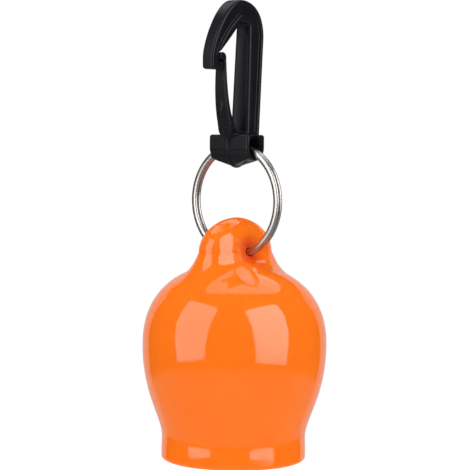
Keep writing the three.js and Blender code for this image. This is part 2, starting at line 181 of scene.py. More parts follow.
# Studio: lengths in metres, angles in degrees from the camera's side
LAMP_TARGET = Vector((0, 0, -85 * MM))  # the middle of the bulb
LEFT_WINDOW = (0.83, 1.31)
RIGHT_WINDOW = (0.86, 1.31)
FLOOR_RADII = (0.05, 0.15, 0.33)
FLOOR_SIDES = 64
CLOTH_DISTANCE = 1.7
CLOTH_SIDES = range(-182, 179, 4)
CLOTH_ELEVATIONS = range(-85, 86, 5)
CLOTH_END = 134  # the cloth hangs as far round as this
CEILING = 25  # elevation from which it goes all the way round
TABLE_LOW, TABLE_HIGH = -0.65, -0.49  # levels between which the table's edge shows


def mix(start, end, share):
    """The value at a share of the way between two others."""
    return start + (end - start) * share


def clamp(value, low=0.0, high=1.0):
    return min(high, max(low, value))


def smooth(share):
    """A share that starts and ends gently."""
    share = clamp(share)
    return share * share * (3 - 2 * share)


def soft_least(first, second, width):
    """The lesser of two lengths, with the corner between them rounded over a width."""
    share = clamp(0.5 + (second - first) / (2 * width))
    return mix(second, first, share) - width * share * (1 - share)


def linear(text):
    """Linear colour of an sRGB hex value."""
    shares = [int(text[i:i + 2], 16) / 255 for i in (1, 3, 5)]
    return [s / 12.92 if s <= 0.04045 else ((s + 0.055) / 1.055) ** 2.4 for s in shares] + [1.0]


# Settings

def length_setting(name, millimetres, description):
    return bpy.props.FloatProperty(name=name, description=description,
                                   default=millimetres * MM, unit="LENGTH", subtype="DISTANCE")


def colour_setting(name, text, description):
    return bpy.props.FloatVectorProperty(name=name, description=description,
                                         default=linear(text), size=4, min=0, max=1,
                                         subtype="COLOR")


class CoverSettings(bpy.types.PropertyGroup):
    """Shape and colours of the soft cover"""
    crown_height: length_setting("Crown height", 21.5, "Widest level to the top of the bulb")
    taper_height: length_setting("Taper height", 24.1, "Widest level to the neck")
    neck_diameter: length_setting("Neck diameter", 37.8, "Outside of the neck")
    neck_height: length_setting("Neck height", 5.8, "Straight part of the neck")
    neck_flare: length_setting("Neck flare", 0.08, "How far the neck widens towards its rim")
    wall: length_setting("Wall", 1.9, "Thickness of the soft wall")
    rim_round: length_setting("Rim rounding", 0.7, "Rounding of the mouth's rim")
    lug_length: length_setting("Lug length", 24.1, "Lug across its long way")
    lug_depth: length_setting("Lug depth", 11.4, "Lug between its two faces")
    lug_dome: length_setting("Lug dome", 8.55, "Height of the lug's domed top")
    face_rise: length_setting("Foot rise at the faces", 3.4, "How high the foot climbs a face")
    face_reach: length_setting("Foot reach at the faces", 5.7, "How far the foot runs out")
    end_rise: length_setting("Foot rise at the ends", 5.2, "How high the foot climbs an end")
    end_reach: length_setting("Foot reach at the ends", 8.1, "How far the foot runs out")
    hole_drop: length_setting("Hole drop", 9.5, "Top of the lug to the middle of its hole")
    hole_diameter: length_setting("Hole", 2.6, "Hole that the ring goes through")
    hole_round: length_setting("Hole rounding", 0.12, "Rounding of the hole's two mouths")
    dimple_length: length_setting("Dimple length", 20.4, "Dimple's ball along the lug")
    dimple_height: length_setting("Dimple height", 10, "Dimple's ball from top to bottom")
    dimple_lift: length_setting("Dimple lift", 2.2, "Middle of the dimple over the hole")
    web: length_setting("Web", 9.8, "Lug left between its dimples")
    colour: colour_setting("Colour", "#ff7b1c", "Orange of the soft moulding")
    shade: colour_setting("Deeper colour", "#fe7517", "Orange where the pigment lies denser")
    # Painted glow: the redder colour mixed in round the lug's hole, for light that has gone through
    # the web.
    through: colour_setting("Colour inside", "#ff4f16", "Redder, where light has gone through")


class RingSettings(bpy.types.PropertyGroup):
    """Wire and colour of the split ring"""
    wire_radial: length_setting("Wire height", 1.7, "Wire's section, away from the ring's middle")
    wire_axial: length_setting("Wire width", 1.06, "Wire's section, along the ring's axis")
    step_angle: bpy.props.FloatProperty(name="Step", description="Where the wire steps over",
                                        default=math.radians(30), subtype="ANGLE")
    colour: colour_setting("Colour", "#aba7a4", "Bright steel")


class ClipSettings(bpy.types.PropertyGroup):
    """Shape, grain and colours of the clip and its tongue"""
    crown_depth: length_setting("Crown depth", 5.0, "Depth of the hook at its crown")
    nose_depth: length_setting("Nose depth", 3.5, "Depth of the hook at its nose")
    column_depth: length_setting("Column depth", 6.1, "Depth of the column at its foot")
    bead: length_setting("Bead", 2.1, "Rounded bead round the hook's opening")
    groove_depth: length_setting("Groove depth", 0.65, "Groove along both faces of the hook")
    nose_round: length_setting("Nose rounding", 0.7, "Rounding of the nose's end")
    outer_round: length_setting("Outer rounding", 0.9, "Rounding of the hook's outer edges")
    inner_round: length_setting("Inner rounding", 0.9, "Rounding of the hook's inner edges")
    bore: length_setting("Bore", 4.9, "Eye for the split ring")
    flare: length_setting("Flare", 6.1, "Eye's bore at its two mouths")
    flare_length: length_setting("Flare length", 1.4, "How far the flare goes in")
    rib: length_setting("Rib", 1.2, "Thin keel and rib in the middle plane")
    tongue_root: length_setting("Tongue root", 1.65, "Thickness of the tongue at its root")
    tongue_tip: length_setting("Tongue tip", 0.9, "Thickness of the tongue under its head")
    head: length_setting("Head", 2.6, "Width of the tongue's head")
    grain: length_setting("Grain", 0.35, "Grain of the mould, in the surface")
    colour: colour_setting("Colour", "#101014", "Black of the moulding")
    shade: colour_setting("Lighter colour", "#18181d", "Black where the surface is rubbed")


class StudioSettings(bpy.types.PropertyGroup):
    """Camera and floor"""
    distance: length_setting("Distance", 430, "Camera to the object, on the level")
    camera_level: length_setting("Camera level", -30.5, "Height of the camera over the seat")
    azimuth: bpy.props.FloatProperty(name="Azimuth", description="Side that the camera is on",
                                     default=math.radians(-49), subtype="ANGLE")
    pitch: bpy.props.FloatProperty(name="Pitch", description="How far the camera looks down",
                                   default=math.radians(3.3), subtype="ANGLE")
    roll: bpy.props.FloatProperty(name="Roll", description="How far the camera leans",
                                  default=math.radians(0.65), subtype="ANGLE")
    aim: bpy.props.FloatProperty(name="Aim", description="How far the camera looks past the middle",
                                 default=math.radians(0.025), subtype="ANGLE")
    focal_share: bpy.props.FloatProperty(name="Focal length",
                                         description="Focal length over the picture's width",
                                         default=1641 / 470, min=0.5)
    floor_drop: length_setting("Floor", 60, "Rim of the cover to the floor")
    floor_colour: colour_setting("Floor", "#f4f4f3", "Pale floor")


# Materials

def add_node(tree, kind, settings=None, inputs=None):
    """Adds a node, sets it, and sets or links its inputs."""
    node = tree.nodes.new(kind)
    for name, value in (settings or {}).items():
        setattr(node, name, value)
    for name, value in (inputs or {}).items():
        if isinstance(value, bpy.types.NodeSocket):
            tree.links.new(value, node.inputs[name])
        else:
            node.inputs[name].default_value = value
    return node


def new_material(name):
    """An empty node material, and its tree."""
    material = bpy.data.materials.new(name)
    material.use_nodes = True
    material.node_tree.nodes.clear()
    return material, material.node_tree


# Liquid silicone rubber, pigmented, moulded in a polished mould. It gives a wet-looking gloss
# over a colour that light enters a little way, with the pigment very slightly uneven.
def moulded_silicone(settings, hole_level):
    material, tree = new_material("moulded_silicone_rubber")
    place = add_node(tree, "ShaderNodeTexCoord")
    # The pigment lies in clouds of about 9 mm.
    pigment = add_node(tree, "ShaderNodeTexNoise", inputs={
        "Vector": place.outputs["Object"], "Scale": 1 / (9 * MM), "Detail": 3.0,
        "Roughness": 0.5})
    tint = add_node(tree, "ShaderNodeMix", {"data_type": "RGBA"}, {
        0: pigment.outputs["Fac"], 6: settings.shade, 7: settings.colour})
    # Painted glow: within 5.5 mm of the hole the colour turns redder, standing in for light that
    # goes through the soft web and comes out redder.
    middle = add_node(tree, "ShaderNodeMapping", inputs={
        "Vector": place.outputs["Object"], "Location": (0, 0, -hole_level), "Scale": (1, 0, 1)})
    span = add_node(tree, "ShaderNodeVectorMath", {"operation": "LENGTH"}, {
        0: middle.outputs["Vector"]})
    painted_glow_share = add_node(tree, "ShaderNodeMapRange", {"interpolation_type": "SMOOTHSTEP"}, {
        "Value": span.outputs["Value"], "From Min": 1.0 * MM, "From Max": 5.5 * MM,
        "To Min": 0.9, "To Max": 0.0})
    glow = add_node(tree, "ShaderNodeMix", {"data_type": "RGBA"}, {
        0: painted_glow_share.outputs["Result"], 6: tint.outputs[2], 7: settings.through})
    # Handling dulls the polish in patches of about 3 mm.
    handling = add_node(tree, "ShaderNodeTexNoise", inputs={
        "Vector": place.outputs["Object"], "Scale": 1 / (3 * MM), "Detail": 4.0})
    gloss = add_node(tree, "ShaderNodeMapRange", inputs={
        "Value": handling.outputs["Fac"], "To Min": 0.05, "To Max": 0.09})
    # The mould's polish leaves waves 5 mm long and a few hundredths of a millimetre high.
    skin = add_node(tree, "ShaderNodeTexNoise", inputs={
        "Vector": place.outputs["Object"], "Scale": 1 / (5 * MM), "Detail": 2.0})
    waves = add_node(tree, "ShaderNodeBump", inputs={
        "Height": skin.outputs["Fac"], "Strength": 0.2, "Distance": 0.03 * MM})
    shader = add_node(tree, "ShaderNodeBsdfPrincipled", inputs={
        "Base Color": glow.outputs[2], "Roughness": gloss.outputs["Result"], "IOR": 1.45,
        "Subsurface Weight": 0.8, "Subsurface Radius": (1.0, 0.28, 0.1),
        "Subsurface Scale": 3 * MM, "Normal": waves.outputs["Normal"]})
    add_node(tree, "ShaderNodeOutputMaterial", inputs={"Surface": shader.outputs["BSDF"]})
    return material


# Injection-moulded nylon, black, with a fine spark-eroded grain. It gives a satin surface whose
# highlights are broad and soft. Its gloss is weaker than that of smooth nylon, because the grain
# takes some of it.
def moulded_nylon(name, settings):
    material, tree = new_material(name)
    place = add_node(tree, "ShaderNodeTexCoord")
    # The real grain is about 0.1 mm, too fine to show, so it is drawn coarser.
    grain = add_node(tree, "ShaderNodeTexNoise", inputs={
        "Vector": place.outputs["Object"], "Scale": 1 / settings.grain, "Detail": 3.0,
        "Roughness": 0.6})
    # Wear and the flow in the mould change the gloss and the black in patches of about 4 mm.
    flow = add_node(tree, "ShaderNodeTexNoise", inputs={
        "Vector": place.outputs["Object"], "Scale": 1 / (4 * MM), "Detail": 3.0})
    tint = add_node(tree, "ShaderNodeMix", {"data_type": "RGBA"}, {
        0: flow.outputs["Fac"], 6: settings.colour, 7: settings.shade})
    gloss = add_node(tree, "ShaderNodeMapRange", inputs={
        "Value": flow.outputs["Fac"], "To Min": 0.25, "To Max": 0.32})
    relief = add_node(tree, "ShaderNodeBump", inputs={
        "Height": grain.outputs["Fac"], "Strength": 0.35, "Distance": 0.03 * MM})
    shader = add_node(tree, "ShaderNodeBsdfPrincipled", inputs={
        "Base Color": tint.outputs[2], "Roughness": gloss.outputs["Result"], "IOR": 1.53,
        "Specular IOR Level": 0.12, "Normal": relief.outputs["Normal"]})
    add_node(tree, "ShaderNodeOutputMaterial", inputs={"Surface": shader.outputs["BSDF"]})
    return material


# Stainless steel wire, rolled flat and tumbled bright. It gives mirror-like bands that run along
# the wire, drawn out by fine lines from the rollers.
def rolled_steel(settings, middle_level):
    material, tree = new_material("rolled_stainless_wire")
    place = add_node(tree, "ShaderNodeTexCoord")
    centred = add_node(tree, "ShaderNodeMapping", inputs={
        "Vector": place.outputs["Object"], "Location": (0, 0, -middle_level)})
    # Roller lines, 0.25 mm apart so that they show, as rings on the flats and bands on the edges.
    # The real ones are too fine to show. A wave texture of scale 1 repeats every twentieth.
    lines_scale = 0.05 / (0.25 * MM)
    rings, bands = (add_node(tree, "ShaderNodeTexWave", {"wave_type": kind, direction: "X"}, {
        "Vector": centred.outputs["Vector"], "Scale": lines_scale, "Distortion": 1.5,
        "Detail": 3.0, "Detail Scale": 2.0})
        for kind, direction in (("RINGS", "rings_direction"), ("BANDS", "bands_direction")))
    lines = add_node(tree, "ShaderNodeMath", {"operation": "ADD"}, {
        0: rings.outputs["Fac"], 1: bands.outputs["Fac"]})
    gloss = add_node(tree, "ShaderNodeMapRange", inputs={
        "Value": lines.outputs["Value"], "From Max": 2.0, "To Min": 0.24, "To Max": 0.3})
    relief = add_node(tree, "ShaderNodeBump", inputs={
        "Height": lines.outputs["Value"], "Strength": 0.02, "Distance": 0.01 * MM})
    shader = add_node(tree, "ShaderNodeBsdfPrincipled", inputs={
        "Base Color": settings.colour, "Metallic": 1.0, "Roughness": gloss.outputs["Result"],
        "Normal": relief.outputs["Normal"]})
    add_node(tree, "ShaderNodeOutputMaterial", inputs={"Surface": shader.outputs["BSDF"]})
    return material


# Mesh tools

def new_object(name, mesh, material):
    """A smooth-shaded object for a mesh, with a material, in the scene."""
    mesh.shade_smooth()
    mesh.materials.append(material)
    piece = bpy.data.objects.new(name, mesh)
    bpy.context.scene.collection.objects.link(piece)
    return piece


def closed_mesh(name, points, faces):
    """A mesh whose faces all look outwards, without the points that no face uses."""
    mesh = bpy.data.meshes.new(name)
    mesh.from_pydata(points, [], faces)
    work = bmesh.new()
    work.from_mesh(mesh)
    bmesh.ops.recalc_face_normals(work, faces=work.faces)
    loose = [vert for vert in work.verts if not vert.link_faces]
    bmesh.ops.delete(work, geom=loose, context="VERTS")
    work.to_mesh(mesh)
    work.free()
    return mesh


def loft(rings, capped=True):
    """Points and faces of a tube through rings of points, shut at both ends if it is capped."""
    sides = len(rings[0])
    points = [point for ring in rings for point in ring]
    faces = []
    for low in range(0, (len(rings) - 1) * sides, sides):
        for i in range(sides):
            after = (i + 1) % sides
            faces.append((low + i, low + after, low + sides + after, low + sides + i))
    if capped:
        faces.append(tuple(range(sides))[::-1])
        faces.append(tuple(range(len(points) - sides, len(points))))
    return points, faces


def bezier(corners, count):
    """Points along a cubic curve in a plane, from its four corners."""
    points = []
    for i in range(count + 1):
        share = i / count
        rest = 1 - share
        weights = (rest ** 3, 3 * rest * rest * share, 3 * rest * share * share, share ** 3)
        points.append(tuple(sum(w * c[k] for w, c in zip(weights, corners)) for k in (0, 1)))
    return points


def arc(centre, radius, start, end, count):
    """Points along a circle's arc in a plane."""
    angles = [mix(start, end, i / count) for i in range(count + 1)]
    return [(centre[0] + radius * math.cos(a), centre[1] + radius * math.sin(a)) for a in angles]


# Cover

def lug_reach(angle, settings):
    """From the cover's axis to the lug's upright side, at an angle round the axis."""
    along = abs(math.cos(angle)) / (settings.lug_length / 2)
    across = abs(math.sin(angle)) / (settings.lug_depth / 2)
    return (along ** LUG_POWER + across ** LUG_POWER) ** (-1 / LUG_POWER)


def lug_angles(settings):
    """Angles round the axis that part the lug's outline evenly, one for each column."""
    fine = 16 * COVER_COLUMNS
    angles = [i * TURN / fine for i in range(fine + 1)]
    spots = [(lug_reach(a, settings) * math.cos(a), lug_reach(a, settings) * math.sin(a))
             for a in angles]
    run = [0.0]
    for here, there in zip(spots, spots[1:]):
        run.append(run[-1] + math.dist(here, there))
    found = []
    i = 0
    for column in range(COVER_COLUMNS):
        wanted = run[-1] * column / COVER_COLUMNS
        while run[i + 1] < wanted:
            i += 1
        found.append(mix(angles[i], angles[i + 1], (wanted - run[i]) / (run[i + 1] - run[i])))
    return found


class Bulb:
    """Levels and radii of the cover, and its profile at any angle round the axis."""

    def __init__(self, settings):
        self.settings = settings
        self.radius = COVER_HIGH.x
        self.rim = COVER_LOW.z
        self.lug_top = COVER_HIGH.z
        self.hole_level = self.lug_top - settings.hole_drop
        self.dome_level = self.lug_top - settings.lug_dome
        self.neck = settings.neck_diameter / 2
        self.neck_level = self.rim + settings.neck_height
        self.widest = self.neck_level + settings.taper_height
        self.ring_level = (RING_LOW.z + RING_HIGH.z) / 2
        self.wire_circle = (RING_HIGH.z - RING_LOW.z) / 2 - WIRE_HALF_HEIGHT
        self.mouth_level = self.bend_level(HOLE_MOUTH)

    def crown_height(self, radius, inset=0.0):
        """Height of the crown over the widest level, at a radius."""
        share = clamp(radius / (self.radius - inset))
        height = self.settings.crown_height - inset
        return height * (1 - share ** CROWN_POWER) ** (1 / CROWN_POWER)

    def crown_point(self, angle, inset=0.0):
        """Radius and level on the crown, from 0 at its top to a quarter turn at its widest."""
        radius = (self.radius - inset) * math.sin(angle) ** (2 / CROWN_POWER)
        rise = (self.settings.crown_height - inset) * max(0, math.cos(angle)) ** (2 / CROWN_POWER)
        return radius, self.widest + rise

    def bend_level(self, across):
        """Level of the hole's middle, which bends through the lug as the ring does."""
        return self.ring_level - math.sqrt(self.wire_circle ** 2 - across ** 2)

    def foot_points(self, angle):
        """The fillet of the lug's foot, from the lug's side to the crown."""
        settings = self.settings
        side = lug_reach(angle, settings)
        towards_end = math.cos(angle) ** 2
        out = side + mix(settings.face_reach, settings.end_reach, towards_end)
        rise = mix(settings.face_rise, settings.end_rise, towards_end)
        start = (side, min(self.widest + self.crown_height(side) + rise,
                           self.dome_level - LUG_STRAIGHT))
        end = (out, self.widest + self.crown_height(out))
        run = (out - side) * FOOT_SLOPE_RUN
        slope = (self.crown_height(out) - self.crown_height(out - run)) / run
        dip = mix(FOOT_DIP_FACE, FOOT_DIP_END, towards_end)
        first = (mix(side, out, FOOT_DRAFT), mix(start[1], end[1], dip))
        lead = FOOT_LEAD * (out - side)
        second = (out - lead, end[1] - slope * lead)
        return bezier((start, first, second, end), FOOT_ROWS)

    def taper_points(self, inset, count):
        """The bulb's side, from its widest level to the neck."""
        radius = self.radius - inset
        neck = self.neck - inset
        return bezier((
            (radius, self.widest),
            (radius, mix(self.widest, self.neck_level, BULB_FULL_SHARE)),
            (neck, mix(self.neck_level, self.widest, NECK_LEAD_SHARE)),
            (neck, self.neck_level)), count)

    def rows(self, lug_angle, even_angle):
        """One column of the skin, as angles, radii and levels, from the lug's top to the inside."""
        side = lug_reach(lug_angle, self.settings)
        dome = self.settings.lug_dome
        rows = []
        # The lug's dome and side, and its foot
        for i in range(1, DOME_ROWS + 1):
            lean = QUARTER * i / DOME_ROWS
            out = side * math.sin(lean) ** (2 / DOME_POWER)
            up = dome * max(0, math.cos(lean)) ** (2 / DOME_POWER)
            rows.append((lug_angle, out, self.dome_level + up))
        foot = self.foot_points(lug_angle)
        for i in range(1, SIDE_ROWS):
            rows.append((lug_angle, side, mix(self.dome_level, foot[0][1], i / SIDE_ROWS)))
        rows += [(lug_angle, radius, level) for radius, level in foot]
        # The crown, where the columns turn from the lug's angles to even ones
        for i in range(1, CROWN_ROWS + 1):
            share = i / CROWN_ROWS
            angle = mix(lug_angle, even_angle, smooth(share))
            out = self.foot_points(angle)[-1][0]
            across = (out / self.radius) ** (CROWN_POWER / 2)
            up = (self.crown_height(out) / self.settings.crown_height) ** (CROWN_POWER / 2)
            start = math.atan2(across, up)
            rows.append((angle, *self.crown_point(mix(start, QUARTER, share))))
        # The taper, the neck and its rim, and the inside up to the top
        outline = self.taper_points(0, TAPER_ROWS)[1:]
        edge = self.settings.rim_round
        wall = self.settings.wall
        lip = self.rim + edge
        flare = self.settings.neck_flare
        for i in range(1, NECK_ROWS):
            share = i / NECK_ROWS
            outline.append((self.neck + flare * smooth(share / FLARE_SHARE),
                            mix(self.neck_level, lip, share)))
        outline += arc((self.neck + flare - edge, lip), edge, 0, -QUARTER, EDGE_ROWS)
        outline += arc((self.neck - wall + edge, lip), edge, -QUARTER, -math.pi, EDGE_ROWS)
        outline += [(self.neck - wall, mix(lip, self.neck_level, i / NECK_ROWS))
                    for i in range(1, NECK_ROWS)]
        outline += self.taper_points(wall, INSIDE_ROWS)[::-1]
        outline += [self.crown_point(QUARTER * (1 - i / INSIDE_ROWS), wall)
                    for i in range(1, INSIDE_ROWS)]
        rows += [(even_angle, radius, level) for radius, level in outline]
        return rows

    def dimple_depth(self, x, z):
        """How far from the middle plane the dimple's floor lies, or nothing beside the dimple."""
        settings = self.settings
        lift = settings.dimple_lift / (settings.dimple_height / 2)
        middle = settings.web / 2 + DIMPLE_DEPTH * math.sqrt(1 - lift * lift)
        u = x / (settings.dimple_length / 2)
        v = (z - self.hole_level - settings.dimple_lift) / (settings.dimple_height / 2)
        inside = 1 - u * u - v * v
        return middle - DIMPLE_DEPTH * math.sqrt(inside) if inside > 0 else middle


def cover_grid(bulb):
    """Points of the cover's skin as rows of columns, with the lug's dimples pressed in."""
    even = [i * TURN / COVER_COLUMNS for i in range(COVER_COLUMNS)]
    columns = [bulb.rows(lug, plain) for lug, plain in zip(lug_angles(bulb.settings), even)]
    grid = []
    for row in zip(*columns):
        line = []
        for angle, radius, level in row:
            x, y = radius * math.cos(angle), radius * math.sin(angle)
            if level > bulb.hole_level - DIMPLE_DROP and radius < bulb.settings.lug_length:
                floor = bulb.dimple_depth(x, level)
                y = math.copysign(soft_least(abs(y), floor, DIMPLE_EDGE), y)
            line.append(Vector((x, y, level)))
        grid.append(line)
    return grid


def shape_hole(bulb, grid, faces_of_grid):
    """Draws the grid into a round hole on both faces of the lug and returns the loops round it."""
    radius = bulb.settings.hole_diameter / 2 + bulb.settings.hole_round
    lug_rows = DOME_ROWS + SIDE_ROWS + FOOT_ROWS
    flat = [point for row in grid for point in row]
    skin = BVHTree.FromPolygons(flat, faces_of_grid)
    loops = []
    cleared = set()
    for side in (-1, 1):
        middle = COVER_COLUMNS * (3 if side < 0 else 1) // 4
        heights = [row[middle].z for row in grid[:lug_rows]]
        top = min(range(len(heights)), key=lambda j: abs(heights[j] - bulb.mouth_level - radius))
        low = min(range(len(heights)), key=lambda j: abs(heights[j] - bulb.mouth_level + radius))
        row = (top + low) // 2
        half = min(range(1, COVER_COLUMNS // 6),
                   key=lambda i: abs(abs(grid[row][middle + i].x) - radius))
        moved = {}
        # The square of cells over the hole becomes round, and the cells round it follow less and
        # less with their distance.
        for j in range(DOME_ROWS // 2, low + FOOT_ROWS):
            for i in range(middle - 4 * half, middle + 4 * half + 1):
                point = grid[j][i]
                u, v = point.x, point.z - bulb.mouth_level
                across = abs(i - middle) / half
                along = (row - j) / (row - top) if j < row else (j - row) / (low - row)
                reach = max(across, along)
                far = math.hypot(u, v)
                if reach > HOLE_SPREAD or far == 0:
                    continue
                pull = 1 - smooth((reach - 1) / (HOLE_SPREAD - 1))
                wanted = mix(far, reach * radius, pull)
                moved[j, i] = (u * wanted / far, v * wanted / far)
        for (j, i), (u, v) in moved.items():
            start = Vector((u, side * OUTSIDE, bulb.mouth_level + v))
            hit = skin.ray_cast(start, Vector((0, -side, 0)))[0]
            if hit:
                grid[j][i] = hit
        ring = [(top, i) for i in range(middle - half, middle + half)]
        ring += [(j, middle + half) for j in range(top, low)]
        ring += [(low, i) for i in range(middle + half, middle - half, -1)]
        ring += [(j, middle - half) for j in range(low, top, -1)]
        loops.append(ring if side < 0 else [(j, 2 * middle - i) for j, i in ring])
        cleared |= {(j, i) for j in range(top, low) for i in range(middle - half, middle + half)}
    return loops, cleared


def cover_mesh(settings):
    """The whole cover as one closed skin."""
    bulb = Bulb(settings)
    grid = cover_grid(bulb)
    count = COVER_COLUMNS
    cells = [(j, i) for j in range(len(grid) - 1) for i in range(count)]

    def cell_face(j, i):
        """The face between two rows and two columns."""
        after = (i + 1) % count
        return (j * count + i, (j + 1) * count + i, (j + 1) * count + after, j * count + after)

    loops, cleared = shape_hole(bulb, grid, [cell_face(j, i) for j, i in cells])
    faces = [cell_face(j, i) for j, i in cells if (j, i) not in cleared]
    points = [point for row in grid for point in row]
    top, under = len(points), len(points) + 1
    points.append(Vector((0, 0, bulb.lug_top)))
    points.append(Vector((0, 0, bulb.crown_point(0, settings.wall)[1])))
    last = (len(grid) - 1) * count
    for i in range(count):
        after = (i + 1) % count
        faces.append((top, i, after))
        faces.append((under, last + after, last + i))
    # The hole: a rounded edge on each face of the lug, and a bent tube between them
    sides = []
    for ring in loops:
        rows = [[j * count + i for j, i in ring]]
        outer = [grid[j][i] for j, i in ring]
        for k in range(1, HOLE_EDGE_ROWS + 1):
            lean = QUARTER * k / HOLE_EDGE_ROWS
            narrow = settings.hole_diameter / 2 + settings.hole_round * (1 - math.sin(lean))
            row = []
            for place in outer:
                u, v = place.x, place.z - bulb.mouth_level
                share = narrow / math.hypot(u, v)
                depth = abs(place.y) - settings.hole_round * (1 - math.cos(lean))
                row.append(len(points))
                points.append(Vector((u * share, math.copysign(depth, place.y),
                                      bulb.bend_level(depth) + v * share)))
            rows.append(row)
        sides.append(rows)
    front, back = sides
    bridge = []
    for k in range(1, HOLE_DEPTH_ROWS):
        row = []
        for a, b in zip(front[-1], back[-1]):
            row.append(len(points))
            spot = points[a].lerp(points[b], k / HOLE_DEPTH_ROWS)
            spot.z = points[a].z - bulb.bend_level(points[a].y) + bulb.bend_level(spot.y)
            points.append(spot)
        bridge.append(row)
    tube = front + bridge + back[::-1]
    for here, there in zip(tube, tube[1:]):
        for i in range(len(here)):
            after = (i + 1) % len(here)
            faces.append((here[i], here[after], there[after], there[i]))
    return closed_mesh("cover", points, faces)


# Split ring

def ring_mesh(settings):
    """Two turns of flat wire, side by side, with a step between them and rounded ends."""
    level = (RING_LOW.z + RING_HIGH.z) / 2
    circle = (RING_HIGH.z - RING_LOW.z - settings.wire_radial) / 2
    offset = (RING_HIGH.x - RING_LOW.x - settings.wire_axial) / 2
    section = []
    for i in range(WIRE_SIDES):
        a, b = math.cos(i * TURN / WIRE_SIDES), math.sin(i * TURN / WIRE_SIDES)
        section.append((math.copysign(abs(a) ** (2 / WIRE_POWER), a) * settings.wire_radial / 2,
                        math.copysign(abs(b) ** (2 / WIRE_POWER), b) * settings.wire_axial / 2))
    crossing = settings.step_angle
    start = QUARTER + crossing / 2
    total = 2 * TURN - crossing
    rings = []
    count = round(total / TURN * WIRE_STEPS)
    for i in range(count + 1):
        run = total * i / count
        side = mix(-offset, offset, smooth((run - TURN + crossing) / crossing))
        from_end = min(run, total - run) * circle
        shrink = mix(0.5, 1, math.sqrt(clamp(from_end / WIRE_END)))
        angle = start + run
        ring = []
        for a, b in section:
            radius = circle + a * shrink
            ring.append((side + b * shrink, radius * math.cos(angle),
                         level + radius * math.sin(angle)))
        rings.append(ring)
    return closed_mesh("ring", *loft(rings))


# Clip. The bare shares in its curves place their middle corners: they say how full a curve is.

def inset(outline, distance):
    """An outline in the plane of X and Z, moved in by a distance. It runs anticlockwise."""
    moved = []
    count = len(outline)
    for i, (x, z) in enumerate(outline):
        before, after = Vector(outline[i - 1]), Vector(outline[(i + 1) % count])
        here = Vector((x, z))
        first, second = (here - before).normalized(), (after - here).normalized()
        normal = Vector((-first.y - second.y, first.x + second.x))
        spread = max(0.5, 1 + first.dot(second))
        moved.append(tuple(here + normal * (distance / spread)))
    return moved


def plate(outline, half_depth, edge, taper=None):
    """A plate with rounded edges, centred on the middle plane."""
    area = sum(a[0] * b[1] - b[0] * a[1] for a, b in zip(outline, outline[1:] + outline[:1]))
    if area < 0:
        outline = outline[::-1]
    steps = 4
    rings = []
    for side in (-1, 1):
        leans = [QUARTER * i / steps for i in range(steps + 1)]
        for lean in leans if side < 0 else leans[::-1]:
            away = half_depth - edge * (1 - math.sin(QUARTER - lean))
            line = inset(outline, edge * (1 - math.sin(lean)))
            share = taper or (lambda x, z: 1.0)
            rings.append([(x, side * away * share(x, z), z) for x, z in line])
    return closed_mesh("plate", *loft(rings))


def hook_edges():
    """Matched points on the outer and inner edges of the hook, from its nose to its foot."""
    crown_rise = CLIP_HIGH.z
    nose = CLIP_LOW.x
    shoulder = CLIP_HIGH.x
    nose_top = (nose, -NOSE_DROP + NOSE_HEIGHT)
    shares = [i / COLUMN_STEPS for i in range(1, COLUMN_STEPS + 1)]
    # The nose, the arm up to the crown, the shoulder and the column
    outer = [(nose, mix(-NOSE_DROP, nose_top[1], i / NOSE_STEPS)) for i in range(NOSE_STEPS)]
    outer += bezier((nose_top, (nose, mix(nose_top[1], crown_rise, 0.3)),
                     (nose * CROWN_PULL, crown_rise), (CROWN_MIDDLE, crown_rise)), CROWN_STEPS)
    outer += bezier(((CROWN_MIDDLE, crown_rise), (shoulder * CROWN_PULL, crown_rise),
                     (shoulder, crown_rise * 0.5), (shoulder, -SHOULDER_DROP)), COLUMN_STEPS)[1:]
    outer += [(mix(shoulder, COLUMN_FOOT_REACH, share), mix(-SHOULDER_DROP, EYE_LEVEL, share))
              for share in shares]
    # The socket of the tongue's head, the arm up to the seat, the throat and the column
    inner = [(SOCKET_FACE, mix(-NOSE_DROP, SOCKET_TOP, i / (NOSE_STEPS - 1)))
             for i in range(NOSE_STEPS)]
    inner += bezier(((SOCKET_END, SOCKET_TOP),
                     (mix(SOCKET_END, -SEAT_HALF_WIDTH, 0.45), mix(SOCKET_TOP, 0, 0.34)),
                     (-SEAT_HALF_WIDTH * 1.55, -THROAT_CORNER * 1.3), (-SEAT_HALF_WIDTH, 0)),
                    CROWN_STEPS)
    inner += bezier(((-SEAT_HALF_WIDTH, 0), (COLUMN_THROAT * 0.5, 0),
                     (COLUMN_THROAT, 0), (COLUMN_THROAT, -THROAT_CORNER)), COLUMN_STEPS)[1:]
    inner += [(mix(COLUMN_THROAT, COLUMN_FOOT_THROAT, share),
               mix(-THROAT_CORNER, EYE_LEVEL, share)) for share in shares]
    return outer, inner


def hook_section(width, half, depth, hollow, settings, nose_share):
    """Half of the bar's section, from the middle of its inner edge to the middle of its outer."""
    inner = min(settings.inner_round, half * ROUND_MOST)
    outer = min(mix(settings.outer_round, NOSE_OUTER_ROUND, nose_share), half * ROUND_MOST)
    lip = GROOVE_LIP
    start = min(settings.bead, width * BEAD_MOST)
    end = max(start + GROOVE_LEAST, width - GROOVE_RIM)
    leans = [QUARTER * i / ROUND_STEPS for i in range(ROUND_STEPS + 1)]
    line = [(hollow * (1 - share * share), (half - inner) * share)
            for share in (0, 0.25, 0.5, 0.75)]
    line += [(inner - inner * math.cos(a), half - inner + inner * math.sin(a)) for a in leans]
    line += [(start - lip, half), (start, half - depth * GROOVE_BREAK),
             (start + lip, half - depth), ((start + end) / 2, half - depth),
             (end - lip, half - depth), (end, half - depth * GROOVE_BREAK), (end + lip, half)]
    line += [(width - outer + outer * math.sin(a), half - outer + outer * math.cos(a))
             for a in leans]
    line += [(width, (half - outer) * 0.5), (width, 0)]
    return line


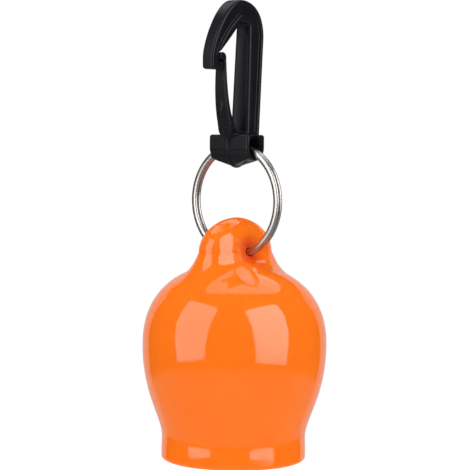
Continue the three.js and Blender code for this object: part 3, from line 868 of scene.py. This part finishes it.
def hook_mesh(settings):
    """The hook and its column: one bar, grooved along both faces."""
    outer, inner = hook_edges()
    last = len(outer) - 1
    rings = []
    for i, (out, into) in enumerate(zip(outer, inner)):
        x, z = (out[0] + into[0]) / 2, (out[1] + into[1]) / 2
        nose_share = clamp(x / CLIP_LOW.x)
        if x < 0:
            half = mix(settings.crown_depth, settings.nose_depth, nose_share) / 2
        else:
            half = mix(settings.crown_depth, settings.column_depth, clamp(z / BARREL_TOP)) / 2
        depth = settings.groove_depth * smooth((i - GROOVE_FADE) / GROOVE_FADE)
        depth *= smooth((last - i) / GROOVE_FADE)
        across = Vector((out[0] - into[0], out[1] - into[1]))
        width = across.length
        hollow = COLUMN_HOLLOW * smooth((-z - SHOULDER_DROP) / SHOULDER_DROP) if x > 0 else 0
        line = hook_section(width, half, depth, hollow, settings, nose_share)
        line += [(u, -y) for u, y in line[-2:0:-1]]
        if i == 0:
            # The nose's end is rounded.
            for k in range(ROUND_STEPS):
                lean = QUARTER * k / ROUND_STEPS
                shrink = settings.nose_round * (1 - math.sin(lean))
                up = settings.nose_round * (1 - math.cos(lean))
                rings.append([(into[0] + across.x * u / width + shrink * (u / width - 0.5) * 2,
                               y * (1 - shrink / half), into[1] + up) for u, y in line])
            continue
        if into[1] < -NOSE_DROP + settings.nose_round and i < NOSE_STEPS:
            continue
        rings.append([(into[0] + across.x * u / width, y, into[1] + across.y * u / width)
                      for u, y in line])
    return closed_mesh("hook", *loft(rings))


def barrel_outline():
    """The eye barrel from its end: round below, and flat on top with rounded corners."""
    half = BARREL_HALF_WIDTH
    corner = BARREL_TOP - BARREL_CORNER
    outline = arc((0, BARREL_BOTTOM + half), half, -math.pi, 0, BARREL_STEPS)
    outline += arc((half - BARREL_CORNER, corner), BARREL_CORNER, 0, QUARTER, ROUND_STEPS)
    outline += arc((BARREL_CORNER - half, corner), BARREL_CORNER, QUARTER, math.pi, ROUND_STEPS)
    return outline


def bore_mesh(settings):
    """The cutter for the eye's bore, flared at both ends."""
    half = CLIP_HIGH.y
    spread = (settings.flare - settings.bore) / 2 / settings.flare_length
    stops = [(-half - BORE_BEYOND, settings.flare / 2 + spread * BORE_BEYOND)]
    for i in range(BORE_STEPS + 1):
        share = i / BORE_STEPS
        stops.append((-half + settings.flare_length * share,
                      mix(settings.flare, settings.bore, math.sin(QUARTER * share)) / 2))
    stops += [(-y, radius) for y, radius in stops[::-1]]
    rings = [[(radius * math.cos(a), y, EYE_LEVEL + radius * math.sin(a))
              for a in (i * TURN / BORE_SIDES for i in range(BORE_SIDES))] for y, radius in stops]
    return closed_mesh("bore", *loft(rings))


def keel_mesh(settings):
    """The thin keel in the middle plane, round the barrel and up to the column and the tongue."""
    side = BARREL_HALF_WIDTH + KEEL_PROUD
    low = CLIP_LOW.z
    half_root = settings.tongue_root / 2
    top = PIVOT[1] - PIVOT_DROP
    left = bezier(((-side, EYE_LEVEL), (-side, mix(EYE_LEVEL, low, 0.62)),
                   (-side * 0.5, low), (0, low)), KEEL_STEPS)
    right = [(-x, z) for x, z in left[::-1]]
    rise = bezier(((PIVOT[0] - half_root - TONGUE_RIB, top),
                   (mix(PIVOT[0], -side, 0.3) - half_root, mix(PIVOT[1], BARREL_TOP, 0.8)),
                   (-side, mix(BARREL_TOP, EYE_LEVEL, 0.2)), (-side, EYE_LEVEL)), RISE_STEPS)
    outline = left + right[1:]
    outline += [(COLUMN_FOOT_REACH - 0.5 * MM, BARREL_TOP + BARREL_CORNER),
                (0, BARREL_TOP - BARREL_CORNER), (PIVOT[0], top)]
    outline += rise[:-1]
    return plate(outline, settings.rib / 2, edge=0.5 * MM)


def belly_mesh(settings):
    """The swelling under the barrel, wide at the barrel and narrow at the keel."""
    low = CLIP_LOW.z + BELLY_LIFT
    side = BARREL_HALF_WIDTH - 0.1 * MM
    start = mix(EYE_LEVEL, low, 0.2)
    left = bezier(((-side, start), (-side, mix(start, low, 0.7)),
                   (-side * 0.5, low), (0, low)), KEEL_STEPS)
    half = CLIP_HIGH.y - 0.5 * MM
    narrow = settings.rib / 2 / half

    def taper(x, z):
        return mix(1, narrow, smooth((BELLY_LEVEL - z) / (BELLY_LEVEL - low)))

    return plate(left + [(-x, z) for x, z in left[-2::-1]], half, edge=0.2 * MM, taper=taper)


def gusset_mesh(settings):
    """The web that leads the column's foot into the barrel's side."""
    foot = (COLUMN_FOOT_REACH, BARREL_TOP + BARREL_CORNER)
    outline = bezier((foot, (foot[0], mix(foot[1], EYE_LEVEL, 0.5)),
                      (BARREL_HALF_WIDTH, mix(foot[1], EYE_LEVEL, 0.6)),
                      (BARREL_HALF_WIDTH - 0.2 * MM, EYE_LEVEL)), GUSSET_STEPS)
    outline += [(COLUMN_FOOT_THROAT, EYE_LEVEL), (COLUMN_FOOT_THROAT, foot[1])]
    return plate(outline, settings.column_depth / 2, edge=0.5 * MM)


def tongue_points(settings, count):
    """Middle points and directions along the tongue, which bows outwards."""
    tip = (HEAD_INNER - settings.tongue_tip / 2, -NOSE_DROP + LEDGE_THICKNESS)
    middle = ((PIVOT[0] + tip[0]) / 2 - TONGUE_BOW, mix(PIVOT[1], tip[1], TONGUE_BOW_SHARE))
    stops = []
    for i in range(count + 1):
        share = i / count
        rest = 1 - share
        place = Vector([rest * rest * a + 2 * rest * share * b + share * share * c
                        for a, b, c in zip(PIVOT, middle, tip)])
        run = Vector([rest * (b - a) + share * (c - b) for a, b, c in zip(PIVOT, middle, tip)])
        stops.append((place, run.normalized()))
    return stops


def tongue_depth(level):
    """Half the depth of the tongue at a level."""
    share = clamp((level - PIVOT[1]) / (GATE_HIGH.z - PIVOT[1]))
    return mix(ROOT_HALF_DEPTH, TIP_HALF_DEPTH, share)


def tongue_section(half, thickness, rib, rib_half):
    """The tongue's section: flat with rounded edges, and a half-round rib down its outer face."""
    edge = min(TONGUE_EDGE, thickness * 0.4)
    inner, outer = thickness / 2, -thickness / 2
    right = [(inner, 0), (inner, half - edge)]
    right += [(inner - edge + edge * math.cos(a), half - edge + edge * math.sin(a))
              for a in (QUARTER * i / 3 for i in range(1, 4))]
    right += [(outer + edge - edge * math.sin(a), half - edge + edge * math.cos(a))
              for a in (QUARTER * i / 3 for i in range(4))]
    right += [(outer, mix(half - edge, rib_half, 0.5)), (outer, rib_half + 0.2 * MM)]
    right += [(outer - rib * math.cos(QUARTER * i / 4), rib_half * math.sin(QUARTER * i / 4))
              for i in range(4, -1, -1)]
    return right + [(a, -b) for a, b in right[-2:0:-1]]


def tongue_mesh(settings):
    """The tongue from its root to its head, without them."""
    rings = []
    for i, (place, run) in enumerate(tongue_points(settings, TONGUE_STEPS)):
        if i == 0:
            place = place - run * ROOT_OVERLAP
        thickness = mix(settings.tongue_root, settings.tongue_tip, i / TONGUE_STEPS)
        rib = TONGUE_RIB * smooth((RIB_LEVEL - place.y) / RIB_RUN)
        section = tongue_section(tongue_depth(place.y), thickness, rib, settings.rib / 2)
        rings.append([(place.x + run.y * a, b, place.y - run.x * a) for a, b in section])
    return closed_mesh("tongue", *loft(rings))


def root_outline(settings, spread):
    """The round root of the tongue, about its bending point."""
    return arc(PIVOT, settings.tongue_root / 2 + spread, 0, TURN, 32)[:-1]


def head_mesh(settings):
    """The tongue's rounded head, which hooks over the nose's ledge."""
    radius = settings.head / 2
    foot = HEAD_TOP - radius - HEAD_STRAIGHT
    hook = HEAD_INNER - settings.tongue_tip
    outline = arc((HEAD_INNER - radius, HEAD_TOP - radius), radius, 0, math.pi, HEAD_STEPS)
    outline += [(HEAD_INNER - settings.head, foot), (hook, foot - HEAD_SLOPE),
                (hook, foot - HEAD_OVERLAP), (HEAD_INNER, foot - HEAD_OVERLAP)]
    return plate(outline, tongue_depth(HEAD_TOP), edge=0.3 * MM)


def stub_mesh(settings):
    """The stub that the tongue grows from, which narrows as it runs down the barrel to the keel."""
    place, run = tongue_points(settings, 4)[0]
    half = settings.tongue_root / 2
    side = Vector((run.y, -run.x)) * (half + ROOT_GAP)
    outer = bezier((tuple(place - side), (place.x - side.x, mix(place.y, BARREL_TOP, 0.6)),
                    (-BARREL_HALF_WIDTH - KEEL_PROUD, BARREL_TOP),
                    (-BARREL_HALF_WIDTH, EYE_LEVEL)), KEEL_STEPS)
    inner = bezier(((0, EYE_LEVEL), (0, BARREL_TOP), tuple(place + side - run * 2 * MM),
                    tuple(place + side)), KEEL_STEPS)
    depth = tongue_depth(PIVOT[1])
    narrow = settings.rib / 2 / depth

    def taper(x, z):
        return mix(1, narrow, smooth((STUB_LEVEL - z) / STUB_RUN))

    return plate(outer + inner, depth, edge=0.3 * MM, taper=taper)


def join(name, start, others, cutters, voxel, rounds):
    """One moulded body: solids joined, cutters taken out, and every corner softened."""
    body = bpy.data.objects.new(name, start)
    bpy.context.scene.collection.objects.link(body)
    helpers = []
    for meshes, operation in ((others, "UNION"), (cutters, "DIFFERENCE")):
        for mesh in meshes:
            helper = bpy.data.objects.new("helper", mesh)
            bpy.context.scene.collection.objects.link(helper)
            helpers.append(helper)
            modifier = body.modifiers.new(operation, "BOOLEAN")
            modifier.operation = operation
            modifier.solver = "MANIFOLD"
            modifier.object = helper
    remesh = body.modifiers.new("Skin", "REMESH")
    remesh.mode = "VOXEL"
    remesh.voxel_size = voxel
    soften = body.modifiers.new("Soften", "SMOOTH")
    soften.factor = 0.5
    soften.iterations = rounds
    bpy.context.view_layer.update()
    view = bpy.context.evaluated_depsgraph_get()
    mesh = bpy.data.meshes.new_from_object(body.evaluated_get(view))
    mesh.materials.clear()  # the joined mesh comes with an empty slot
    for item in helpers + [body]:
        bpy.data.objects.remove(item)
    return mesh


def clip_mesh(settings):
    """The whole clip but for its tongue, as one moulding."""
    start = mix(CLIP_LOW.x, LEDGE_INNER, 0.3)
    top = -NOSE_DROP + LEDGE_THICKNESS
    ledge = [(start, -NOSE_DROP), (LEDGE_INNER, -NOSE_DROP), (LEDGE_INNER, top), (start, top)]
    parts = [
        plate(ledge, settings.nose_depth / 2, edge=0.35 * MM),
        plate(barrel_outline(), CLIP_HIGH.y, edge=0.6 * MM),
        keel_mesh(settings),
        belly_mesh(settings),
        gusset_mesh(settings),
        stub_mesh(settings),
    ]
    root = plate(root_outline(settings, ROOT_GAP), half_depth=5 * MM, edge=0)
    return join("clip", hook_mesh(settings), parts, [bore_mesh(settings), root],
                voxel=CLIP_VOXEL, rounds=3)


def gate_mesh(settings):
    """The tongue with its round root and its head, as one moulding."""
    root = plate(root_outline(settings, ROOT_SPREAD), tongue_depth(PIVOT[1]), edge=0.25 * MM)
    return join("gate", tongue_mesh(settings), [root, head_mesh(settings)], [],
                voxel=TONGUE_VOXEL, rounds=4)


# Operators

class COVER_OT_soft_cover(bpy.types.Operator):
    """Builds the soft cover: bulb, neck, open mouth and dimpled lug with its hole"""
    bl_idname = "cover.soft_cover"
    bl_label = "Soft cover"

    def execute(self, context):
        settings = context.scene.cover_settings
        material = moulded_silicone(settings, Bulb(settings).mouth_level)
        piece = new_object("soft_cover", cover_mesh(settings), material)
        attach(piece, "cover")
        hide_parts("mouthpiece_cover")
        return {"FINISHED"}


class COVER_OT_wire_ring(bpy.types.Operator):
    """Builds the split ring from two turns of rolled wire"""
    bl_idname = "cover.wire_ring"
    bl_label = "Split ring"

    def execute(self, context):
        settings = context.scene.ring_settings
        material = rolled_steel(settings, (RING_LOW.z + RING_HIGH.z) / 2)
        piece = new_object("wire_ring", ring_mesh(settings), material)
        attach(piece, "ring")
        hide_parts("split_ring")
        return {"FINISHED"}


class COVER_OT_snap_clip(bpy.types.Operator):
    """Builds the snap clip: hook, nose, column, eye barrel and keel"""
    bl_idname = "cover.snap_clip"
    bl_label = "Snap clip"

    def execute(self, context):
        settings = context.scene.clip_settings
        material = moulded_nylon("moulded_nylon", settings)
        piece = new_object("snap_clip", clip_mesh(settings), material)
        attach(piece, "clip")
        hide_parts("clip_body")
        return {"FINISHED"}


class COVER_OT_spring_tongue(bpy.types.Operator):
    """Builds the springy tongue that closes the hook"""
    bl_idname = "cover.spring_tongue"
    bl_label = "Spring tongue"

    def execute(self, context):
        settings = context.scene.clip_settings
        material = moulded_nylon("moulded_nylon_tongue", settings)
        piece = new_object("spring_tongue", gate_mesh(settings), material)
        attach(piece, "gate")
        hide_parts("clip_gate")
        return {"FINISHED"}


# Studio

def towards(azimuth, elevation, distance):
    """A place at an azimuth and elevation, as seen from the object's middle."""
    flat = math.cos(elevation) * distance
    return Vector((math.sin(azimuth) * flat, -math.cos(azimuth) * flat,
                   math.sin(elevation) * distance))


def soft_lamp(name, place, size, brightness, shines="GLOSS", lean=0.0, down=None):
    """A flat lamp of an even brightness, whose light makes either the gloss or the shading.

    It looks at the bulb and leans by an angle, or it looks straight down, turned by an angle.
    """
    light = bpy.data.lights.new(name, "AREA")
    light.shape = "RECTANGLE" if down is None else "ELLIPSE"
    light.size, light.size_y = size
    area = size[0] * size[1] * (1 if down is None else math.pi / 4)
    light.energy = brightness * math.pi * area
    lamp = bpy.data.objects.new(name, light)
    lamp.location = place + LAMP_TARGET
    if down is None:
        lamp.rotation_euler = (place.to_track_quat("Z", "Y")
                               @ Quaternion((0, 0, 1), lean)).to_euler()
    else:
        lamp.rotation_euler = (0, 0, down)
    lamp.visible_diffuse = shines == "SHADE"
    lamp.visible_glossy = shines == "GLOSS"
    bpy.context.scene.collection.objects.link(lamp)


class COVER_OT_studio(bpy.types.Operator):
    """Builds the floor, the lamps, the white surroundings and the camera"""
    bl_idname = "cover.studio"
    bl_label = "Studio"

    def execute(self, context):
        settings = context.scene.studio_settings
        scene = context.scene
        scene.view_settings.view_transform = "Standard"
        self.surroundings(scene)
        self.floor(settings)
        self.dim_side(settings)
        self.lamps(settings.azimuth)
        self.camera(settings, scene)
        return {"FINISHED"}

    def lamps(self, front):
        """Two tall soft windows and a round one overhead, as the gloss and the shading see them."""
        left = towards(front - math.radians(57.7), math.radians(22.3), 1.0)
        right = towards(front + math.radians(48), math.radians(21.1), 1.0)
        over = towards(front, 0, -0.5) + Vector((0, 0, 1))
        above = towards(front, math.radians(65), 1.0)
        behind = towards(front + math.pi, math.radians(30), 1.0)
        # They are bright in the gloss, and weaker in the shading, which keeps the light on the
        # colours at about 1.
        soft_lamp("left_window", left, LEFT_WINDOW, 3.4, lean=0.065)
        soft_lamp("right_window", right, RIGHT_WINDOW, 5.2, lean=-0.038)
        soft_lamp("over_window", over, (1.38, 1.2), 1.7, down=front)
        soft_lamp("left_shading", left, LEFT_WINDOW, 0.8, "SHADE")
        soft_lamp("right_shading", right, RIGHT_WINDOW, 1.1, "SHADE")
        soft_lamp("back_shading", behind, (1.2, 1.2), 0.5, "SHADE")
        soft_lamp("over_shading", above, (1.1, 1.1), 1.15, "SHADE")

    def surroundings(self, scene):
        """White to the camera, a little less in the gloss, and plain ambient light."""
        world = bpy.data.worlds.new("white_surroundings")
        scene.world = world
        world.use_nodes = True
        tree = world.node_tree
        tree.nodes.clear()
        rays = add_node(tree, "ShaderNodeLightPath")
        shiny = add_node(tree, "ShaderNodeMath", {"operation": "MAXIMUM"}, {
            0: rays.outputs["Is Glossy Ray"], 1: rays.outputs["Is Transmission Ray"]})
        seen = add_node(tree, "ShaderNodeMath", {"operation": "MAXIMUM"}, {
            0: rays.outputs["Is Camera Ray"], 1: shiny.outputs["Value"]})
        level = add_node(tree, "ShaderNodeMapRange", inputs={
            "Value": shiny.outputs["Value"], "To Min": 1.0, "To Max": 0.6})
        ambient = add_node(tree, "ShaderNodeBackground", inputs={
            "Color": linear("#ffffff"), "Strength": 0.85})
        white = add_node(tree, "ShaderNodeBackground", inputs={
            "Color": linear("#ffffff"), "Strength": level.outputs["Result"]})
        both = add_node(tree, "ShaderNodeMixShader", inputs={
            0: seen.outputs["Value"], 1: ambient.outputs[0], 2: white.outputs[0]})
        add_node(tree, "ShaderNodeOutputWorld", inputs={"Surface": both.outputs[0]})

    def floor(self, settings):
        """A white paper floor under the hanging object, which keeps its shadow."""
        material, tree = new_material("white_paper_floor")
        rays = add_node(tree, "ShaderNodeLightPath")
        place = add_node(tree, "ShaderNodeTexCoord")
        away = add_node(tree, "ShaderNodeVectorMath", {"operation": "LENGTH"}, {
            0: place.outputs["Object"]})
        # Paper near the object, where its shadow falls, and plain white farther out.
        spread = add_node(tree, "ShaderNodeMapRange", {"interpolation_type": "SMOOTHSTEP"}, {
            "Value": away.outputs["Value"], "From Min": 0.12, "From Max": 0.3,
            "To Min": 0.5, "To Max": 1.0})
        half = add_node(tree, "ShaderNodeMath", {"operation": "MULTIPLY"}, {
            0: rays.outputs["Is Camera Ray"], 1: spread.outputs["Result"]})
        paper = add_node(tree, "ShaderNodeBsdfDiffuse", inputs={"Color": settings.floor_colour})
        white = add_node(tree, "ShaderNodeEmission", inputs={
            "Color": linear("#ffffff"), "Strength": 1.0})
        both = add_node(tree, "ShaderNodeMixShader", inputs={
            0: half.outputs["Value"], 1: paper.outputs[0], 2: white.outputs[0]})
        add_node(tree, "ShaderNodeOutputMaterial", inputs={"Surface": both.outputs[0]})
        level = COVER_LOW.z - settings.floor_drop
        angles = [i * TURN / FLOOR_SIDES for i in range(FLOOR_SIDES)]
        rings = [[(radius * math.cos(a), radius * math.sin(a), level) for a in angles]
                 for radius in FLOOR_RADII]
        points, faces = loft(rings, capped=False)
        faces.append(tuple(range(FLOOR_SIDES))[::-1])
        mesh = bpy.data.meshes.new("floor")
        mesh.from_pydata(points, [], faces)
        floor = new_object("floor", mesh, material)
        floor.visible_glossy = False

    def dim_side(self, settings):
        """A dim cloth round the front and sides over a paler table, which show in the gloss."""
        material, tree = new_material("dim_cloth")
        place = add_node(tree, "ShaderNodeTexCoord")
        height = add_node(tree, "ShaderNodeSeparateXYZ", inputs={0: place.outputs["Object"]})
        share = add_node(tree, "ShaderNodeMapRange", {"interpolation_type": "SMOOTHSTEP"}, {
            "Value": height.outputs["Z"], "From Min": TABLE_LOW, "From Max": TABLE_HIGH,
            "To Min": 0.42, "To Max": 0.02})
        glow = add_node(tree, "ShaderNodeEmission", inputs={
            "Color": linear("#ffffff"), "Strength": share.outputs["Result"]})
        add_node(tree, "ShaderNodeOutputMaterial", inputs={"Surface": glow.outputs[0]})
        # It leaves the white backdrop to show behind, up to where the ceiling begins.
        rows = [[LAMP_TARGET + towards(settings.azimuth + math.radians(side),
                                       math.radians(elevation), CLOTH_DISTANCE)
                 for side in CLOTH_SIDES] for elevation in CLOTH_ELEVATIONS]
        count = len(CLOTH_SIDES)
        faces = [(j * count + i, j * count + i + 1, (j + 1) * count + i + 1, (j + 1) * count + i)
                 for j in range(len(rows) - 1) for i in range(count - 1)
                 if -CLOTH_END <= CLOTH_SIDES[i] < CLOTH_END or CLOTH_ELEVATIONS[j] >= CEILING]
        mesh = bpy.data.meshes.new("dim_cloth")
        mesh.from_pydata([point for row in rows for point in row], [], faces)
        cloth = new_object("dim_cloth", mesh, material)
        cloth.visible_camera = False
        cloth.visible_diffuse = False
        cloth.visible_shadow = False

    def camera(self, settings, scene):
        """The camera, about level with the clip's eye."""
        data = bpy.data.cameras.new("camera")
        data.sensor_fit = "HORIZONTAL"
        data.lens = data.sensor_width * settings.focal_share
        camera = bpy.data.objects.new("camera", data)
        scene.collection.objects.link(camera)
        away = towards(settings.azimuth, 0, settings.distance)
        camera.location = (away.x, away.y, settings.camera_level)
        look = towards(settings.azimuth + settings.aim, settings.pitch, 1)
        turn = look.to_track_quat("Z", "Y") @ Quaternion((0, 0, 1), settings.roll)
        camera.rotation_euler = turn.to_euler()
        scene.camera = camera


# Panel

OPERATORS = (COVER_OT_soft_cover, COVER_OT_wire_ring, COVER_OT_snap_clip, COVER_OT_spring_tongue,
             COVER_OT_studio)


class COVER_PT_panel(bpy.types.Panel):
    """Lists the pieces that can be built"""
    bl_idname = "COVER_PT_panel"
    bl_label = "Mouthpiece cover"
    bl_space_type = "VIEW_3D"
    bl_region_type = "UI"
    bl_category = "Cover"

    def draw(self, context):
        for operator in OPERATORS:
            self.layout.operator(operator.bl_idname)


SETTINGS = {"cover_settings": CoverSettings, "ring_settings": RingSettings,
            "clip_settings": ClipSettings, "studio_settings": StudioSettings}
CLASSES = (*SETTINGS.values(), *OPERATORS, COVER_PT_panel)


def register():
    """Registers the classes, and the settings on each scene."""
    for item in CLASSES:
        bpy.utils.register_class(item)
    for name, group in SETTINGS.items():
        setattr(bpy.types.Scene, name, bpy.props.PointerProperty(type=group))


def unregister():
    """Takes the settings and the classes away again."""
    for name in SETTINGS:
        delattr(bpy.types.Scene, name)
    for item in reversed(CLASSES):
        bpy.utils.unregister_class(item)


def main():
    """Builds every piece and the studio."""
    register()
    bpy.ops.cover.soft_cover()
    bpy.ops.cover.wire_ring()
    bpy.ops.cover.snap_clip()
    bpy.ops.cover.spring_tongue()
    bpy.ops.cover.studio()


if __name__ == "__main__":
    main()
